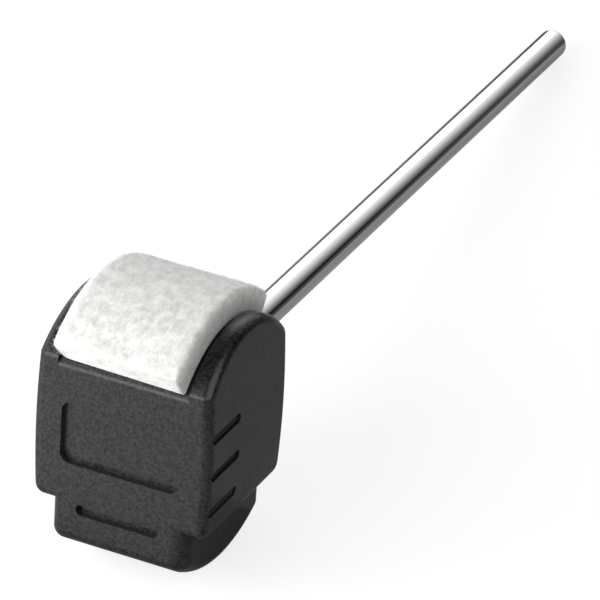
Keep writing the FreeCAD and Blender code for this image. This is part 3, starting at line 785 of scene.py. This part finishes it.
def fibre_curves(bm, sizes):
    """Loose fibres on the felt's open faces, each a short NURBS curve with one or both ends in the wool."""
    picker = random.Random(FIBRE_SEED)
    middle = Vector((0, FELT_MIDDLE_Y, FELT_CENTRE_Z))
    open_faces = []
    for face in bm.faces:
        out = (face.calc_center_median() - middle) * Vector((0, 1, 1))
        if out.length > FELT_INNER_RADIUS + FELT_SEAT_KEPT:
            open_faces.append(face)
    curves = bpy.data.curves.new("felt_fibre_curves", "CURVE")
    curves.dimensions = "3D"
    curves.bevel_depth = sizes.fibre_width / 2
    curves.bevel_resolution = 0
    curves.resolution_u = 1
    curves.use_fill_caps = True
    for face in picker.choices(open_faces, k=sizes.fibre_count):
        normal = face.normal
        lay = normal.orthogonal().normalized()
        side = normal.cross(lay)
        turn = picker.uniform(0, math.tau)
        run = lay * math.cos(turn) + side * math.sin(turn)
        bow = normal.cross(run) * picker.uniform(-FIBRE_BOW, FIBRE_BOW)
        length = sizes.fibre_length * picker.uniform(*FIBRE_LENGTHS)
        rise = length * picker.uniform(*FIBRE_RISES)
        end_height = rise * picker.choice(FIBRE_ENDS)
        start = face.calc_center_median() - normal * sizes.fibre_width
        points = [start]
        for (run_share, bow_share), height in zip(FIBRE_SHAPE, (rise, rise, end_height)):
            points.append(start + run * length * run_share + normal * height + bow * length * bow_share)
        spline = curves.splines.new("NURBS")
        spline.points.add(len(points) - 1)
        for spot, point in zip(spline.points, points):
            spot.co = (*point, 1.0)
        spline.order_u = 3
        spline.use_endpoint_u = True
    return curves


class BEATER_OT_head_moulding(bpy.types.Operator):
    """Makes the head, one dark moulding with the front face, both cheeks and the hard face"""

    bl_idname = "beater.head_moulding"
    bl_label = "Head moulding"

    def execute(self, context):
        nylon = moulded_nylon()
        head = add_piece("head_moulding", smooth_copy("head_shell"), nylon, "moulded_nylon", "head_shell")
        even_shading(head)
        return {"FINISHED"}


class BEATER_OT_rod(bpy.types.Operator):
    """Makes the chromed rod and the washer under its shoulder"""

    bl_idname = "beater.rod"
    bl_label = "Rod and washer"

    def execute(self, context):
        chrome = chromed_steel()
        zinc = zinc_plated_steel()
        rod = add_piece("chromed_rod", smooth_copy("shaft"), chrome, "chromed_steel", "shaft")
        even_shading(rod)
        washer = add_piece(
            "shoulder_washer", smooth_copy("back_washer"), zinc, "zinc_plated_steel", "back_washer"
        )
        even_shading(washer)
        return {"FINISHED"}


class BEATER_OT_felt(bpy.types.Operator):
    """Makes the felt strip and the loose fibres on it"""

    bl_idname = "beater.felt"
    bl_label = "Felt"

    def execute(self, context):
        sizes = context.scene.beater_sizes
        wool = pressed_wool_felt()
        bm = felt_strip(sizes)
        curves = fibre_curves(bm, sizes)
        felt = add_piece("felt_strip", bm, wool, "wool_felt", "felt_pad")
        finer = felt.modifiers.new("finer", "SUBSURF")
        finer.levels = 1
        finer.render_levels = 1
        # The curves become thin tubes in one mesh
        drawn = bpy.data.objects.new("felt_fibre_curves", curves)
        context.scene.collection.objects.link(drawn)
        context.view_layer.update()
        finished = drawn.evaluated_get(context.evaluated_depsgraph_get())
        tubes = bmesh.new()
        tubes.from_mesh(bpy.data.meshes.new_from_object(finished))
        bpy.data.objects.remove(drawn)
        for face in tubes.faces:
            face.smooth = True
        add_piece("felt_fibres", tubes, wool, "wool_felt")
        return {"FINISHED"}


class BEATER_OT_inner_pieces(bpy.types.Operator):
    """Gives the pieces inside the head their finishes, after the head and the rod have theirs"""

    bl_idname = "beater.inner_pieces"
    bl_label = "Inner pieces"

    def execute(self, context):
        zinc = bpy.data.materials["zinc_plated_steel_passivated"]
        spring = oiled_spring_steel()
        finishes = {
            "inner_washer": zinc,
            "shaft_nut": zinc,
            "carrier_screws": zinc,
            "lock_washer": spring,
            "shaft_pin": spring,
            "felt_carrier": bpy.data.materials["moulded_nylon_spark_grain"],
            "felt_adhesive": contact_adhesive(),
        }
        for name, material in finishes.items():
            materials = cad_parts[name].data.materials
            materials.clear()
            materials.append(material)
        return {"FINISHED"}


class BEATER_OT_stage(bpy.types.Operator):
    """Makes the floor, the cards, the lamps, the studio round them and the camera"""

    bl_idname = "beater.stage"
    bl_label = "Stage"

    def execute(self, context):
        scene = context.scene
        scene.view_settings.view_transform = "Standard"
        self.floor(scene)
        self.cards(scene)
        self.lamps(scene)
        self.studio(scene)
        self.camera(scene)
        return {"FINISHED"}

    def floor(self, scene):
        """A wide sheet of paper, set where the beater would lie on it."""
        bm = bmesh.new()
        bmesh.ops.create_circle(bm, cap_ends=True, segments=FLOOR_SIDES, radius=FLOOR_RADIUS)
        self.laid_on_floor(scene, "paper_floor", bm, matt_paper())

    def cards(self, scene):
        """A white card in front that lights the head, and a grey one under it whose reflection paints
        shade: the camera sees neither.
        """
        cards = (
            ("reflector_card", CARD_MIDDLE, CARD_SIZE, white_card(), True),
            ("shading_card", GREY_MIDDLE, GREY_SIZE, shade_reflection_card(), False),
        )
        for name, middle, size, material, gives_light in cards:
            bm = bmesh.new()
            # A grid's size is half its width, so this one is 1 m wide before it is scaled
            bmesh.ops.create_grid(bm, x_segments=1, y_segments=1, size=0.5)
            bmesh.ops.scale(bm, verts=bm.verts, vec=(*size, 1))
            bmesh.ops.translate(bm, verts=bm.verts, vec=middle)
            card = self.laid_on_floor(scene, name, bm, material)
            card.visible_camera = False
            card.visible_shadow = False
            card.visible_diffuse = gives_light

    def laid_on_floor(self, scene, name, bm, material):
        """Turns a flat mesh into the floor's plane and adds it to the stage."""
        turn = Euler((FLOOR_TILT, 0, 0)).to_matrix()
        bmesh.ops.rotate(bm, verts=bm.verts, cent=(0, 0, 0), matrix=turn)
        bmesh.ops.translate(bm, verts=bm.verts, vec=FLOOR_POINT)
        mesh = bpy.data.meshes.new(name)
        bm.to_mesh(mesh)
        bm.free()
        mesh.materials.append(material)
        laid = bpy.data.objects.new(name, mesh)
        scene.collection.objects.link(laid)
        return laid

    def lamps(self, scene):
        """A key from the front left, a fill from the right, a weak lamp from behind and a small low one."""
        for name, towards, strength, width in SOFT_LAMPS:
            lamp = bpy.data.lights.new(name, "SUN")
            lamp.energy = strength
            lamp.angle = math.radians(width)
            stand = bpy.data.objects.new(name, lamp)
            stand.rotation_euler = Vector(towards).to_track_quat("Z", "Y").to_euler()
            scene.collection.objects.link(stand)
        # The low lamp lights the felt's front end and left side; neither the camera nor a mirror sees it
        low = bpy.data.lights.new("low_softbox", "AREA")
        low.energy = LOW_LAMP_POWER
        low.size = LOW_LAMP_SIZE
        stand = bpy.data.objects.new("low_softbox", low)
        stand.location = LOW_LAMP_PLACE
        stand.rotation_euler = LOW_LAMP_PLACE.to_track_quat("Z", "Y").to_euler()
        stand.visible_camera = False
        stand.visible_glossy = False
        scene.collection.objects.link(stand)

    def studio(self, scene):
        """A bright left side that is dimmer straight behind, an unlit right side and a dark ceiling."""
        world = bpy.data.worlds.new("studio")
        world.use_nodes = True
        scene.world = world
        tree = world.node_tree
        towards = add_node(tree, "ShaderNodeTexCoord").outputs["Generated"]
        axes = add_node(tree, "ShaderNodeSeparateXYZ", {"Vector": towards})
        strength = 1.0
        for axis, (start, end), (strength_at_start, strength_at_end), change in STUDIO_WALLS:
            wall = add_node(
                tree,
                "ShaderNodeMapRange",
                {
                    "Value": axes.outputs[axis],
                    "From Min": start,
                    "From Max": end,
                    "To Min": strength_at_start,
                    "To Max": strength_at_end,
                },
                interpolation_type=change,
            )
            strength = add_node(
                tree, "ShaderNodeMath", {0: strength, 1: wall.outputs["Result"]}, operation="MULTIPLY"
            ).outputs["Value"]
        set_inputs(tree, tree.nodes["Background"], {"Color": WHITE, "Strength": strength})

    def camera(self, scene):
        """The camera, where the photograph was taken from."""
        lens = bpy.data.cameras.new("camera")
        lens.lens = CAMERA_LENS
        camera = bpy.data.objects.new("camera", lens)
        camera.location = CAMERA_PLACE
        camera.rotation_euler = [math.radians(angle) for angle in CAMERA_TURN]
        scene.collection.objects.link(camera)
        scene.camera = camera


class BEATER_PT_pieces(bpy.types.Panel):
    """Lists the pieces, sizes and colours"""

    bl_idname = "BEATER_PT_pieces"
    bl_label = "Bass drum beater"
    bl_space_type = "VIEW_3D"
    bl_region_type = "UI"
    bl_category = "Beater"

    def draw(self, context):
        for operator in OPERATORS:
            self.layout.operator(operator.bl_idname)
        for group in (context.scene.beater_sizes, context.scene.beater_colours):
            for name in group.__annotations__:
                self.layout.prop(group, name)


OPERATORS = (
    BEATER_OT_head_moulding,
    BEATER_OT_rod,
    BEATER_OT_felt,
    BEATER_OT_inner_pieces,
    BEATER_OT_stage,
)
CLASSES = (BeaterSizes, BeaterColours) + OPERATORS + (BEATER_PT_pieces,)


def register():
    for cls in CLASSES:
        bpy.utils.register_class(cls)
    bpy.types.Scene.beater_sizes = PointerProperty(type=BeaterSizes)
    bpy.types.Scene.beater_colours = PointerProperty(type=BeaterColours)


def unregister():
    del bpy.types.Scene.beater_colours
    del bpy.types.Scene.beater_sizes
    for cls in reversed(CLASSES):
        bpy.utils.unregister_class(cls)


def main():
    register()
    bpy.ops.beater.head_moulding()
    bpy.ops.beater.rod()
    bpy.ops.beater.felt()
    bpy.ops.beater.inner_pieces()
    bpy.ops.beater.stage()


if __name__ == "__main__":
    main()
